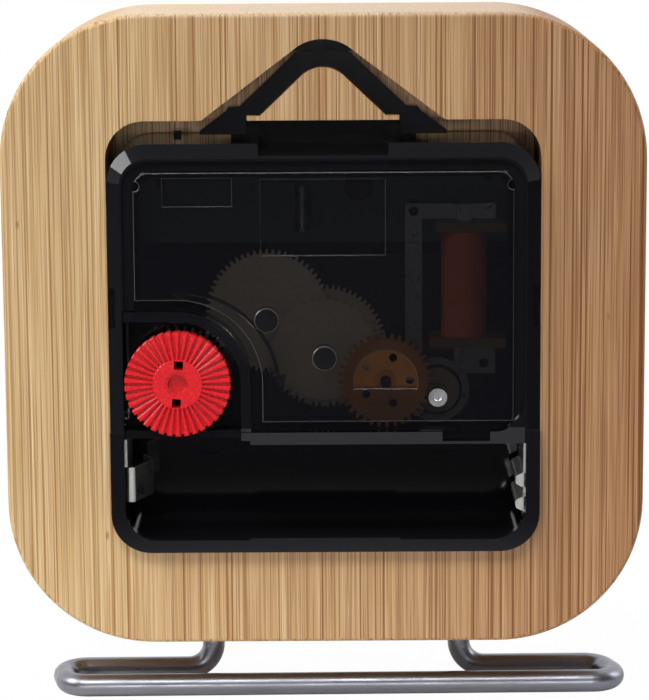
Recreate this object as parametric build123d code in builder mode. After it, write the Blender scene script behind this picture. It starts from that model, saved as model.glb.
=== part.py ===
from build123d import *
import os
from math import atan2, cos, hypot, pi, radians, sin

# A small desk clock in a bamboo block, on a bent wire stand, with its quartz movement let into the back.
# Places are given as seen from the back: u runs to the right and v up, both from the hand axis,
# and depth runs backwards from the front face of the movement's case. Lengths are millimetres.

# Bamboo block
block_width = 83.4
block_height = 83.0
block_thickness = 20.0
block_corner_radius = 19.0
block_edge_radius = 0.6
block_ground_gap = 9.0
axis_below_block_centre = 3.0
block_front_wall = 5.0
bushing_hole_clearance = 0.25

# Pocket in the block's back
pocket_side_gap = 0.1
pocket_gap_below_case = 0.35
pocket_room_above_case = 2.97
pocket_corner_radius = 5.0

# Groove for the hanger, around an island of bamboo left at the block's face
groove_depth = 3.5
groove_foot_half_width = 15.7
groove_shoulder_half_width = 3.15
groove_shoulder_v = 40.2
groove_apex_v = 41.1
island_base_half_width = 9.8
island_base_top_v = 31.25
island_waist_half_width = 8.1
island_shoulder_half_width = 2.55
island_shoulder_v = 36.55
island_apex_v = 37.45

# Movement case
case_width = 56.0
case_top_v = 27.74
case_thickness = 15.2
case_proud_of_block = 1.7
case_top_corner_radius = 5.2
case_bottom_corner_radius = 5.2
case_bevel_width = 1.75
case_bevel_depth = 1.6
case_side_wall = 1.2
case_front_wall = 1.2
case_top_wall = 2.7
case_room_corner_radius = 2.0
case_lip_thickness = 1.0
case_lip_width = 0.8
case_moat_margin = 0.3
case_moat_above_bar = 0.6
case_channel_width = 16.6
case_channel_flare = 0.3
case_channel_depth = 1.45
case_clip_length = 5.2
case_clip_reach = 0.9
case_clip_depth = 2.4
case_clip_v = 6.5
case_lug_size = 1.0
case_lug_height = 0.6
case_lug_u = -19.3
case_lug_depth = 1.9

# Battery bay, for one AA cell
bay_length = 52.3
bar_top_v = -9.85
bay_height = 14.5
bay_bottom_wall = 0.45
bay_corner_radius = 2.5
bay_bar_height = 1.05
lip_thickness = 1.5
low_lip_height = 1.2
low_lip_corner_radius = 4.2
low_lip_middle_height = 0.25
low_lip_middle_half_length = 9.8
bar_lip_height = 0.55
bar_lip_start_u = -9.75
bar_below_knob = 0.25
bar_notch_start_u = 15.3
bar_notch_length = 6.2
bar_notch_height = 1.25
bar_notch_depth = 1.5
polarity_mark_length = 2.6
polarity_mark_width = 0.6
polarity_mark_depth = 0.25
polarity_mark_u = 15.6
polarity_mark_v = -15.2

# Case cover
cover_width = 49.0
cover_top_v = 24.25
cover_bar_gap = 0.1
cover_thickness = 1.5
cover_proud_of_rim = 0.3
cover_corner_radius = 2.0
cover_edge_radius = 0.2
cover_rim_radius = 0.12
cover_seat_gap = 0.1
cover_boss_radius = 1.3
cover_boss_length = 0.7
cover_button_radius = 1.6
cover_button_height = 0.15
cover_button_bevel = 0.12
cover_moat_width = 1.5
cover_moat_bottom_width = 1.35
cover_moat_floor_thickness = 0.5
cover_corner_notch_radius = 0.6
cover_corner_notch_inset = (0.2, 1.75)
window_radius = 4.15
window_centre_u = 7.93
window_centre_v = -3.2
window_chord_v = -4.0
window_recess_depth = 0.9
panel_recess_depth = 0.4
plain_panel_u = (-20.7, -11.8)
plain_panel_v = (19.9, 23.5)
frame_panel_u = (-8.1, 7.9)
frame_panel_v = (13.5, 23.3)
arrow_centre_u = -18.6
arrow_centre_v = -4.0
arrow_radius = 12.7
arrow_line_width = 0.5
arrow_line_depth = 0.25
arrow_start_degrees = 8.0
arrow_end_degrees = 86.0
arrow_head_length = 2.6
arrow_head_width = 2.2

# Knob well in the cover and the case, round the knob's own centre
well_radius = 8.2
well_floor_thickness = 0.8
well_wall = 1.3
well_side_u = -26.15
well_gap = 0.1

# Setting knob
knob_u = -19.1
knob_v = -3.35
knob_radius = 6.9
knob_thickness = 2.0
knob_well_depth = 4.2
knob_rib_count = 38
knob_rib_share = 0.62
knob_rib_depth = 0.8
knob_rib_edge_bevel = 0.12
knob_hub_radius = 3.3
knob_rib_notch_radius = 0.2
knob_recess_radius = 1.3
knob_recess_depth = 1.4
knob_recess_rim_radius = 1.65
knob_recess_rim_depth = 0.2
knob_slot_size = 1.15
knob_slot_offset = 2.5
knob_slot_turn_degrees = 4.0
shaft_radius = 1.1
shaft_pivot_radius = 0.8
setting_hub_height = 1.5
knob_edge_bevel = 0.25

# Wheel train: places of the arbors, and the heights of the wheels
third_u = -7.46
third_v = 5.02
fifth_u = 7.95
fifth_v = -3.45
rotor_u = 14.68
rotor_v = -5.25
wheel_thickness = 0.6
motion_wheel_thickness = 0.8
pinion_overlap = 0.2
hour_wheel_depth = 2.0
minute_wheel_depth = 3.2
bridge_depth = 4.5
bridge_thickness = 0.8
centre_wheel_depth = 5.7
third_wheel_depth = 7.2
seconds_wheel_depth = 8.4
fifth_wheel_depth = 12.3
arbor_radius = 0.3
pivot_radius = 0.2
pivot_clearance = 0.03
pivot_seat = 0.5
centre_arbor_radius = 0.4
running_clearance = 0.05
hub_radius = 1.5
hub_rim = 0.7
wheel_hole_radius = 0.55
wheel_hole_count = 5
wheel_hole_circle = 3.15

# Teeth: counts, and the shape of a tooth in shares of the pitch or the module
rotor_leaves = 6
fifth_teeth = 36
fifth_leaves = 8
seconds_teeth = 40
seconds_leaves = 8
third_teeth = 60
third_leaves = 8
centre_teeth = 64
cannon_leaves = 12
minute_teeth = 36
minute_leaves = 10
hour_teeth = 40
setting_teeth = 32
tooth_width_share = 0.46
tooth_top_share = 0.9
tooth_root_share = 1.3
leaf_width_share = 0.38
leaf_top_share = 0.6
leaf_root_share = 1.4
tip_width_share = 0.35

# Motor
magnet_radius = 3.0
magnet_thickness = 1.6
magnet_depth = 8.7
rotor_hub_radius = 0.5
rotor_bearing_radius = 1.2
rotor_bearing_recess = 0.5
stator_thickness = 0.9
stator_depth = 9.0
stator_air_gap = 0.4
stator_ring_width = 0.9
stator_leg_from_rotor = (-4.08, -1.88)
stator_top_v = (17.4, 19.4)
stator_foot_v = (-3.1, 0.5)
stator_foot_from_rotor = (2.32, 7.72)
coil_from_rotor = 3.57
coil_radius = 3.0
coil_bottom_v = 2.15
coil_top_v = 16.05
bobbin_tube_radius = 1.55
bobbin_lower_flange_from_rotor = (-0.98, 8.92)
bobbin_lower_flange_thickness = 1.3
bobbin_upper_flange_from_rotor = (-0.18, 8.82)
bobbin_upper_flange_thickness = 1.2
bobbin_flange_depth = 6.0
core_width = 1.9
core_thickness = 0.9
core_gap = 0.05
core_end_overlap = 2.0
winding_gap = 0.05

# Posts that stand on the case's front wall
post_radius = 1.2
peg_radius = 0.6
peg_clearance = 0.05
peg_stand = 0.3
bridge_posts = ((-10.8, 10.6), (17.8, 10.6), (-2.5, -8.6), (17.8, -8.2))
bridge_u = (-12.3, 19.3)
bridge_v = (-9.6, 12.1)
bridge_corner_radius = 1.4
stator_posts_from_rotor = ((-2.98, 23.65), (6.22, 3.55))
board_posts = ((-21.5, 22.0), (21.5, 22.6))
rotor_boss_radius = 1.1
rotor_boss_gap = 0.25

# Circuit board and what it carries
board_v = (14.0, 24.4)
board_corner_radius = 1.0
board_depth = 6.0
board_thickness = 0.8
chip_radius = 1.9
chip_height = 0.9
chip_u = 4.6
chip_v = 21.4
crystal_radius = 1.0
crystal_length = 6.0
crystal_start_v = 15.6
crystal_u = -2.8

# Battery contacts
contact_thickness = 0.2
contact_tail_width = 2.0
contact_strip_gap_below_bar = 0.3
contact_start_depth = 3.0
negative_leaf_top_v = -14.8
negative_leaf_height = 4.6
negative_leaf_reach = 3.1
negative_leaf_shoulder = 1.0
negative_leaf_bend_radius = 0.35
negative_leaf_rear_depth = 13.2
negative_leaf_middle_depth = 8.2
negative_leaf_end_depth = 4.6
negative_leaf_end_reach = 1.7
positive_strip_bottom_v = -22.0
positive_strip_rear_depth = 13.5
positive_bump_reach = 1.2
positive_bump_root_half_height = 0.95
positive_bump_top_half_height = 0.45
positive_bump_bend_radius = 0.3
positive_bump_v = (-16.7, -19.9)
tail_depth = 5.4
tail_board_overlap = 2.5
tail_slot_clearance = 0.2

# Hanger
hanger_rear_below_face = 1.3
hanger_thickness = 2.0
hanger_foot_tip = (15.9, 29.3)
hanger_foot_bottom_v = 28.8
hanger_foot_inner_half_width = 10.1
hanger_foot_notch = (12.5, 31.84)
hanger_foot_shoulder = (12.2, 32.35)
hanger_arm_foot = (10.75, 32.45)
hanger_arm_top_half_width = 3.35
hanger_top_v = 39.45
hanger_groove_gap = 0.1
hanger_cap_recess = 0.8
hanger_island_gap = 0.15
hanger_riser_half_width = 12.3
hanger_plate_thickness = 1.0
hanger_plate_half_width = 9.2
hanger_plate_bottom_v = -8.5
hanger_shoulder_v = 24.5
hanger_pocket_gap = 0.2

# Centre fixing: bushing, washers, nut
bushing_radius = 4.0
bushing_flange_radius = 5.5
bushing_flange_thickness = 0.5
bushing_stand_out = 0.6
rubber_washer_radius = 8.5
rubber_washer_thickness = 0.5
brass_washer_radius = 6.5
brass_washer_thickness = 0.4
nut_across_flats = 11.0
nut_thickness = 2.0
nut_edge_bevel = 0.4
fit_clearance = 0.05

# Hands, and the plain marks on the front
hour_pipe_radius = 2.5
cannon_pipe_radius = 1.5
cannon_stem_radius = 1.0
cannon_shoulder = 0.3
hand_thickness = 0.4
hand_step = 1.6
hand_first_gap = 0.6
pipe_stand_out = 0.25
hour_hand_length = 20.0
minute_hand_length = 27.0
second_hand_length = 29.0
second_tail_length = 8.0
hour_hand_width = 3.0
minute_hand_width = 2.2
second_hand_width = 0.8
hand_hub_rim = 1.6
hand_tip_share = 0.45
second_cap_radius = 1.6
second_cap_height = 0.4
rest_hour = 10
rest_minute = 9
rest_second = 32
mark_circle_radius = 31.5
hour_mark_count = 12
quarter_mark_step = 3
mark_length = 4.6
quarter_mark_length = 6.6
mark_width = 1.3
mark_thickness = 0.4

# Wire stand
wire_radius = 1.5
wire_bend_radius = 3.5
loop_bend_radius = 3.1
leg_half_spacing = 16.8
leg_side_shift = 1.3
leg_in_block = 10.0
leg_hole_extra_depth = 0.5
leg_from_back = 14.5
near_bar_from_back = 6.25
rear_half_reach = 36.9
rear_side_shift = 0.4
near_half_reach = 37.4
near_side_shift = 2.6
stand_yaw_degrees = 0.8

overrun = 1.0

os.makedirs("parts", exist_ok=True)

# Worked out from the sizes above
block_back_depth = case_thickness - case_proud_of_block
block_front_depth = block_back_depth - block_thickness
pocket_floor_depth = block_front_depth + block_front_wall
axis_height = block_ground_gap + block_height / 2 - axis_below_block_centre
cover_rear_depth = case_thickness + cover_proud_of_rim
cover_front_depth = cover_rear_depth - cover_thickness

# Stack on the front, from the block's face forwards
washer_front_depth = block_front_depth - brass_washer_thickness
nut_front_depth = washer_front_depth - nut_thickness
bushing_front_depth = nut_front_depth - bushing_stand_out
hour_hand_rear_depth = bushing_front_depth - hand_first_gap
minute_hand_rear_depth = hour_hand_rear_depth - hand_step
second_hand_rear_depth = minute_hand_rear_depth - hand_step
second_arbor_front_depth = second_hand_rear_depth - hand_thickness
cap_front_depth = second_arbor_front_depth - second_cap_height
origin_depth = (cap_front_depth + cover_rear_depth + cover_button_height) / 2

# Distances between arbors give the modules of the wheels
third_distance = hypot(third_u, third_v)
fifth_distance = hypot(fifth_u, fifth_v)
rotor_distance = hypot(rotor_u - fifth_u, rotor_v - fifth_v)
knob_distance = hypot(knob_u, knob_v)
centre_module = 2 * third_distance / (centre_teeth + third_leaves)
third_module = 2 * third_distance / (third_teeth + seconds_leaves)
seconds_module = 2 * fifth_distance / (seconds_teeth + fifth_leaves)
fifth_module = 2 * rotor_distance / (fifth_teeth + rotor_leaves)
setting_module = 2 * knob_distance / (cannon_leaves + 2 * minute_teeth + setting_teeth)
minute_distance = setting_module * (cannon_leaves + minute_teeth) / 2
hour_module = 2 * minute_distance / (hour_teeth + minute_leaves)
knob_bearing = atan2(knob_v, knob_u)
minute_u = minute_distance * cos(knob_bearing)
minute_v = minute_distance * sin(knob_bearing)

# Heights and radii shared by several pieces
bridge_rear_depth = bridge_depth + bridge_thickness
pivot_rear_depth = cover_front_depth - cover_boss_length + pivot_seat
pivot_front_depth = bridge_depth + pivot_seat / 2
hour_bore_radius = cannon_pipe_radius + running_clearance
cannon_bore_radius = centre_arbor_radius + running_clearance
bushing_bore_radius = hour_pipe_radius + running_clearance
bushing_hole_radius = bushing_radius + fit_clearance
motion_wheel_rear_depth = minute_wheel_depth + motion_wheel_thickness
rotor_boss_depth = magnet_depth - rotor_boss_gap
stator_leg_u = [rotor_u + reach for reach in stator_leg_from_rotor]
stator_foot_u = [rotor_u + reach for reach in stator_foot_from_rotor]
stator_posts = [(rotor_u + reach, rotor_v + rise) for reach, rise in stator_posts_from_rotor]
coil_u = rotor_u + coil_from_rotor
bobbin_lower_flange_u = [rotor_u + reach for reach in bobbin_lower_flange_from_rotor]
bobbin_upper_flange_u = [rotor_u + reach for reach in bobbin_upper_flange_from_rotor]
core_depth = stator_depth + stator_thickness
coil_middle_depth = core_depth + core_thickness / 2
well_floor_depth = cover_rear_depth - knob_well_depth
moat_floor_depth = cover_front_depth + cover_moat_floor_thickness
well_floor_front_depth = well_floor_depth - well_floor_thickness
knob_front_depth = cover_rear_depth - knob_thickness

# The train room and the battery bay in the case
case_half_width = case_width / 2
room_half_width = case_half_width - case_side_wall
room_top_v = case_top_v - case_top_wall
bay_top_v = bar_top_v - bay_bar_height
bay_bottom_v = bay_top_v - bay_height
case_bottom_v = bay_bottom_v - bay_bottom_wall
half_bay = bay_length / 2
cover_bottom_v = bar_top_v + cover_bar_gap
plateau_bottom_v = cover_bottom_v + cover_moat_bottom_width
bay_lip_depth = case_thickness - lip_thickness
cover_half_width = cover_width / 2
seat_half_width = cover_half_width + cover_seat_gap
seat_top_v = cover_top_v + cover_seat_gap
lip_half_width = seat_half_width - case_lip_width
lip_front_depth = cover_front_depth - case_lip_thickness
bevel_start_depth = case_thickness - case_bevel_depth
contact_inner_u = half_bay - contact_thickness


def back_plane(depth, u=0, v=0):
    """A plane parallel to the back, facing backwards, with its own x to the right and y up."""
    return Plane(origin=(-u, depth - origin_depth, axis_height + v), x_dir=(-1, 0, 0), z_dir=(0, 1, 0))


def slab(u_range, v_range, depth_range, mode=Mode.ADD):
    """A block between two values of u, two of v and two of depth."""
    with BuildSketch(back_plane(depth_range[0], sum(u_range) / 2, sum(v_range) / 2)) as section:
        Rectangle(abs(u_range[1] - u_range[0]), abs(v_range[1] - v_range[0]))
    extrude(section.sketch, amount=depth_range[1] - depth_range[0], mode=mode)


def rounded_slab(u_range, v_range, radius, depth_range, mode=Mode.ADD):
    """A block between two values of u, v and depth, with round corners."""
    with BuildSketch(back_plane(depth_range[0], sum(u_range) / 2, sum(v_range) / 2)) as section:
        RectangleRounded(u_range[1] - u_range[0], v_range[1] - v_range[0], radius)
    extrude(section.sketch, amount=depth_range[1] - depth_range[0], mode=mode)


def both_sides(half_width):
    return -half_width, half_width


def rod(u, v, radius, depth_range, mode=Mode.ADD):
    """A round bar along the depth."""
    with BuildSketch(back_plane(depth_range[0], u, v)) as section:
        Circle(radius)
    extrude(section.sketch, amount=depth_range[1] - depth_range[0], mode=mode)


def tooth_outline(teeth, module, phase, shares):
    """Corner points of a toothed disc: radial flanks below the pitch circle, narrowing tips above."""
    width_share, top_share, root_share = shares
    pitch_radius = module * teeth / 2
    root_radius = pitch_radius - root_share * module
    tip_radius = pitch_radius + top_share * module
    half_tooth = width_share * pi / teeth
    half_tip = tip_width_share * half_tooth
    corners = (
        (root_radius, -half_tooth),
        (pitch_radius, -half_tooth),
        (tip_radius, -half_tip),
        (tip_radius, half_tip),
        (pitch_radius, half_tooth),
        (root_radius, half_tooth),
    )
    points = []
    for tooth in range(teeth):
        middle = phase + 2 * pi * tooth / teeth
        for radius, offset in corners:
            points.append((radius * cos(middle + offset), radius * sin(middle + offset)))
    return points


def toothed_disc(u, v, depth_range, teeth, module, phase, shares):
    """A wheel or a pinion, as a straight toothed prism."""
    with BuildSketch(back_plane(depth_range[0], u, v)) as section:
        with BuildLine():
            Polyline(*tooth_outline(teeth, module, phase, shares), close=True)
        make_face()
    extrude(section.sketch, amount=depth_range[1] - depth_range[0])


def mesh_phase(teeth, phase, other_teeth, bearing):
    """The turn of the other disc that puts its gaps where this disc's teeth come, along the bearing."""
    share_past_tooth = (bearing - phase) / (2 * pi / teeth) % 1
    return bearing + pi - (2 * pi / other_teeth) * (1 / 2 - share_past_tooth)


def wheel_holes(u, v, depth_range):
    """A ring of round holes in a wheel's web."""
    for hole in range(wheel_hole_count):
        angle = 2 * pi * hole / wheel_hole_count
        hole_u = u + wheel_hole_circle * cos(angle)
        hole_v = v + wheel_hole_circle * sin(angle)
        rod(hole_u, hole_v, wheel_hole_radius, depth_range, Mode.SUBTRACT)


wheel_shares = (tooth_width_share, tooth_top_share, tooth_root_share)
leaf_shares = (leaf_width_share, leaf_top_share, leaf_root_share)

# Turns of the discs, each worked out from its neighbour in the train
third_bearing = atan2(third_v, third_u)
fifth_bearing = atan2(fifth_v, fifth_u)
rotor_bearing_angle = atan2(rotor_v - fifth_v, rotor_u - fifth_u)
third_phase = mesh_phase(seconds_leaves, 0, third_teeth, third_bearing)
centre_phase = mesh_phase(third_leaves, third_phase, centre_teeth, third_bearing + pi)
fifth_phase = mesh_phase(seconds_teeth, 0, fifth_leaves, fifth_bearing)
rotor_phase = mesh_phase(fifth_teeth, fifth_phase, rotor_leaves, rotor_bearing_angle)
minute_phase = mesh_phase(cannon_leaves, 0, minute_teeth, knob_bearing)
hour_phase = mesh_phase(minute_leaves, minute_phase, hour_teeth, knob_bearing + pi)
setting_phase = mesh_phase(minute_teeth, minute_phase, setting_teeth, knob_bearing)


# Bamboo block

groove_floor_depth = block_back_depth - groove_depth
pocket_half_width = case_half_width + pocket_side_gap
pocket_bottom_v = case_bottom_v - pocket_gap_below_case
pocket_top_v = case_top_v + pocket_room_above_case


def groove_outline(gap):
    """The groove's outer edge from inside the pocket up to its round apex, drawn in by a gap."""
    slope = (groove_foot_half_width - groove_shoulder_half_width) / (groove_shoulder_v - pocket_top_v)
    low_v = pocket_top_v - overrun
    low_half_width = groove_foot_half_width + overrun * slope - gap * hypot(1, slope)
    shoulder_half_width = low_half_width - (groove_shoulder_v - low_v) * slope
    with BuildLine() as outline:
        Polyline(
            (-shoulder_half_width, groove_shoulder_v),
            (-low_half_width, low_v),
            (low_half_width, low_v),
            (shoulder_half_width, groove_shoulder_v),
        )
        ThreePointArc(
            (shoulder_half_width, groove_shoulder_v),
            (0, groove_apex_v - gap),
            (-shoulder_half_width, groove_shoulder_v),
        )
    return outline


def island_outline(gap, low_v):
    """The island inside the hanger's arch, grown by a gap."""
    base = island_base_half_width + gap
    waist = island_waist_half_width + gap
    shoulder = (island_shoulder_half_width + gap / 2, island_shoulder_v + gap / 2)
    with BuildLine() as outline:
        Polyline(
            (-shoulder[0], shoulder[1]),
            (-waist, island_base_top_v + gap),
            (-base, island_base_top_v + gap),
            (-base, low_v),
            (base, low_v),
            (base, island_base_top_v + gap),
            (waist, island_base_top_v + gap),
            shoulder,
        )
        ThreePointArc(shoulder, (0, island_apex_v + gap), (-shoulder[0], shoulder[1]))
    return outline


def stand_point(u, from_back):
    """A point of the stand's plan, turned a little about the middle between its legs."""
    arm_u = u - leg_side_shift
    arm_depth = leg_from_back - from_back
    yaw = radians(stand_yaw_degrees)
    turned_u = leg_side_shift + arm_u * cos(yaw) + arm_depth * sin(yaw)
    turned_depth = block_back_depth - leg_from_back - arm_u * sin(yaw) + arm_depth * cos(yaw)
    return -turned_u, turned_depth - origin_depth


left_leg = stand_point(leg_side_shift - leg_half_spacing, leg_from_back)
right_leg = stand_point(leg_side_shift + leg_half_spacing, leg_from_back)

with BuildPart() as bamboo_block:
    with BuildSketch(back_plane(block_front_depth, 0, axis_below_block_centre)):
        RectangleRounded(block_width, block_height, block_corner_radius)
    extrude(amount=block_thickness)
    block_faces = bamboo_block.faces().sort_by(Axis.Y)
    fillet(block_faces[0].edges() + block_faces[-1].edges(), radius=block_edge_radius)
    rounded_slab(
        both_sides(pocket_half_width), (pocket_bottom_v, pocket_top_v), pocket_corner_radius,
        (pocket_floor_depth, block_back_depth + overrun), Mode.SUBTRACT,
    )
    with BuildSketch(back_plane(groove_floor_depth)):
        make_face(groove_outline(0).edges())
        make_face(island_outline(0, pocket_top_v - 2 * overrun).edges(), mode=Mode.SUBTRACT)
    extrude(amount=groove_depth + overrun, mode=Mode.SUBTRACT)
    wall_hole_radius = bushing_radius + bushing_hole_clearance
    wall_depths = (block_front_depth - overrun, pocket_floor_depth + overrun)
    rod(0, 0, wall_hole_radius, wall_depths, Mode.SUBTRACT)
    with BuildSketch(Plane.XY.offset(block_ground_gap - overrun)):
        with Locations(left_leg, right_leg):
            Circle(wire_radius + fit_clearance)
    extrude(amount=overrun + leg_in_block + leg_hole_extra_depth, mode=Mode.SUBTRACT)
bamboo_block.part.label = "bamboo_block"
export_step(bamboo_block.part, "parts/bamboo_block.step")

# Wire stand: down from the block, outwards, round to the back and along the whole width

wire_top = block_ground_gap + leg_in_block
left_rear = stand_point(rear_side_shift - rear_half_reach, leg_from_back)
left_near = stand_point(near_side_shift - near_half_reach, near_bar_from_back)
right_near = stand_point(near_side_shift + near_half_reach, near_bar_from_back)
right_rear = stand_point(rear_side_shift + rear_half_reach, leg_from_back)
wire_route = [
    (*left_leg, wire_top),
    (*left_leg, wire_radius),
    (*left_rear, wire_radius),
    (*left_near, wire_radius),
    (*right_near, wire_radius),
    (*right_rear, wire_radius),
    (*right_leg, wire_radius),
    (*right_leg, wire_top),
]
loop_bends = [loop_bend_radius] * 4

with BuildPart() as wire_stand:
    with BuildLine():
        FilletPolyline(*wire_route, radius=[wire_bend_radius] + loop_bends + [wire_bend_radius])
    with BuildSketch(Plane.XY.offset(wire_top)):
        with Locations(left_leg):
            Circle(wire_radius)
    sweep()
wire_stand.part.label = "wire_stand"
export_step(wire_stand.part, "parts/wire_stand.step")

# Movement case: one tray with the train room above and the battery bay below


def case_outline(inset):
    """The case's outline, drawn in by an inset."""
    half = case_half_width - inset
    top = case_top_v - inset
    bottom = case_bottom_v + inset
    top_radius = case_top_corner_radius - inset
    low_radius = case_bottom_corner_radius - inset
    with BuildLine() as outline:
        Line((low_radius - half, bottom), (half - low_radius, bottom))
        RadiusArc((half - low_radius, bottom), (half, bottom + low_radius), -low_radius)
        Line((half, bottom + low_radius), (half, top - top_radius))
        RadiusArc((half, top - top_radius), (half - top_radius, top), -top_radius)
        Line((half - top_radius, top), (top_radius - half, top))
        RadiusArc((top_radius - half, top), (-half, top - top_radius), -top_radius)
        Line((-half, top - top_radius), (-half, bottom + low_radius))
        RadiusArc((-half, bottom + low_radius), (low_radius - half, bottom), -low_radius)
    return outline


def bay_outline(low_v, corner_radius):
    """The battery bay as seen from the back, with round lower corners."""
    flat_half = half_bay - corner_radius
    low_arc_v = low_v + corner_radius
    with BuildLine() as outline:
        Polyline((half_bay, low_arc_v), (half_bay, bay_top_v), (-half_bay, bay_top_v), (-half_bay, low_arc_v))
        RadiusArc((-half_bay, low_arc_v), (-flat_half, low_v), -corner_radius)
        Line((-flat_half, low_v), (flat_half, low_v))
        RadiusArc((flat_half, low_v), (half_bay, low_arc_v), -corner_radius)
    return outline


def well_outline(left_u, bottom_v, growth):
    """The knob well in plan, grown by an amount: open to the left and below, round at the upper right."""
    radius = well_radius + growth
    right_u = knob_u + radius
    top_v = knob_v + radius
    with BuildLine() as outline:
        Polyline(
            (knob_u, top_v), (left_u, top_v), (left_u, bottom_v), (right_u, bottom_v), (right_u, knob_v),
        )
        RadiusArc((right_u, knob_v), (knob_u, top_v), -radius)
    return outline


with BuildPart() as movement_case:
    with BuildSketch(back_plane(0)):
        make_face(case_outline(0).edges())
    extrude(amount=bevel_start_depth)
    with BuildSketch(back_plane(bevel_start_depth)):
        make_face(case_outline(0).edges())
    with BuildSketch(back_plane(case_thickness)):
        make_face(case_outline(case_bevel_width).edges())
    loft(ruled=True)
    # Beside and below the battery bay the rim keeps its full width
    with BuildSketch(back_plane(bevel_start_depth)):
        make_face(case_outline(0).edges())
        with Locations((0, bar_top_v + case_width / 2)):
            Rectangle(2 * case_width, case_width, mode=Mode.SUBTRACT)
    extrude(amount=case_bevel_depth)
    # The train room, its lip for the cover, and the cover's seat
    rounded_slab(
        both_sides(room_half_width), (bar_top_v, room_top_v), case_room_corner_radius,
        (case_front_wall, lip_front_depth), Mode.SUBTRACT,
    )
    rounded_slab(
        both_sides(lip_half_width), (bar_top_v, cover_top_v - case_lip_width), case_room_corner_radius,
        (case_front_wall, case_thickness + overrun), Mode.SUBTRACT,
    )
    rounded_slab(
        both_sides(seat_half_width), (bar_top_v, seat_top_v), cover_corner_radius + cover_seat_gap,
        (cover_front_depth, case_thickness + overrun), Mode.SUBTRACT,
    )
    # A shallow moat between the bevel's crest and the cover, which ends just above the bar
    moat_half_width = case_half_width - case_bevel_width - case_moat_margin
    moat_v = (bar_top_v + case_moat_above_bar, case_top_v - case_bevel_width - case_moat_margin)
    rounded_slab(
        both_sides(moat_half_width), moat_v, case_top_corner_radius - case_bevel_width,
        (moat_floor_depth, case_thickness + overrun), Mode.SUBTRACT,
    )
    # The battery bay, with round lower corners and lips that hold the cell
    low_lip_v = bay_bottom_v + low_lip_height
    with BuildSketch(back_plane(case_front_wall)):
        make_face(bay_outline(bay_bottom_v, bay_corner_radius).edges())
    extrude(amount=bay_lip_depth - case_front_wall, mode=Mode.SUBTRACT)
    with BuildSketch(back_plane(bay_lip_depth)):
        make_face(bay_outline(low_lip_v, low_lip_corner_radius).edges())
    extrude(amount=case_thickness, mode=Mode.SUBTRACT)
    lip_depths = (bay_lip_depth, case_thickness)
    middle_lip_v = (low_lip_v - low_lip_height / 2, low_lip_v + low_lip_middle_height)
    slab(both_sides(low_lip_middle_half_length), middle_lip_v, lip_depths)
    slab(
        (bar_lip_start_u, half_bay + case_side_wall / 2),
        (bay_top_v - bar_lip_height, bay_top_v + bay_bar_height / 2), lip_depths,
    )
    # Openings in the rim for the knob well, and a lower stretch of the bar under the knob
    with BuildSketch(back_plane(well_floor_front_depth - well_gap)):
        make_face(well_outline(well_side_u, bar_top_v, well_wall + well_gap).edges())
    extrude(amount=case_thickness, mode=Mode.SUBTRACT)
    with BuildSketch(back_plane(knob_front_depth - bar_below_knob)):
        make_face(well_outline(well_side_u, bay_top_v - overrun, 0).edges())
    extrude(amount=case_thickness, mode=Mode.SUBTRACT)
    slab(
        (bar_notch_start_u, bar_notch_start_u + bar_notch_length),
        (bar_top_v - bar_notch_height, bar_top_v + overrun),
        (case_thickness - bar_notch_depth, case_thickness + overrun), Mode.SUBTRACT,
    )
    # The channel across the top wall, with flared sides
    channel_floor_v = case_top_v - case_channel_depth
    flared_half = case_channel_width / 2 + case_channel_flare
    with BuildSketch(back_plane(-overrun)):
        with BuildLine():
            Polyline(
                (-case_channel_width / 2, channel_floor_v),
                (case_channel_width / 2, channel_floor_v),
                (flared_half, case_top_v + overrun),
                (-flared_half, case_top_v + overrun),
                close=True,
            )
        make_face()
    extrude(amount=case_thickness + 2 * overrun, mode=Mode.SUBTRACT)
    for side in (-1, 1):
        clip_u = sorted((side * (case_half_width - case_clip_reach), side * (case_half_width + overrun)))
        clip_v = (case_clip_v - case_clip_length / 2, case_clip_v + case_clip_length / 2)
        clip_depths = (case_thickness - case_clip_depth, case_thickness + overrun)
        slab(clip_u, clip_v, clip_depths, Mode.SUBTRACT)
        # Slots in the bar, where the contacts' tails pass from the bay to the train room
        slot_u = sorted((side * (contact_inner_u - tail_slot_clearance), side * half_bay))
        slot_v = (bay_top_v - overrun, bar_top_v + overrun)
        tail_end_depth = tail_depth + contact_tail_width
        slot_depths = (tail_depth - tail_slot_clearance, tail_end_depth + tail_slot_clearance)
        slab(slot_u, slot_v, slot_depths, Mode.SUBTRACT)
    # Plain signs for the cell's two ends, sunk in the bay's floor
    sign_depths = (case_front_wall - polarity_mark_depth, case_front_wall + overrun)
    sign_rows = (polarity_mark_v - polarity_mark_width / 2, polarity_mark_v + polarity_mark_width / 2)
    for sign_u in (-polarity_mark_u, polarity_mark_u):
        sign_columns = (sign_u - polarity_mark_length / 2, sign_u + polarity_mark_length / 2)
        slab(sign_columns, sign_rows, sign_depths, Mode.SUBTRACT)
    slab(
        (polarity_mark_u - polarity_mark_width / 2, polarity_mark_u + polarity_mark_width / 2),
        (polarity_mark_v - polarity_mark_length / 2, polarity_mark_v + polarity_mark_length / 2),
        sign_depths, Mode.SUBTRACT,
    )
    # Posts with pegs for the bridge, the stator and the board
    for post_places, seat_depth, seat_thickness in (
        (bridge_posts, bridge_depth, bridge_thickness),
        (stator_posts, stator_depth, stator_thickness),
        (board_posts, board_depth, board_thickness),
    ):
        for post_u, post_v in post_places:
            rod(post_u, post_v, post_radius, (case_front_wall, seat_depth))
            rod(post_u, post_v, peg_radius, (seat_depth, seat_depth + seat_thickness + peg_stand))
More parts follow.
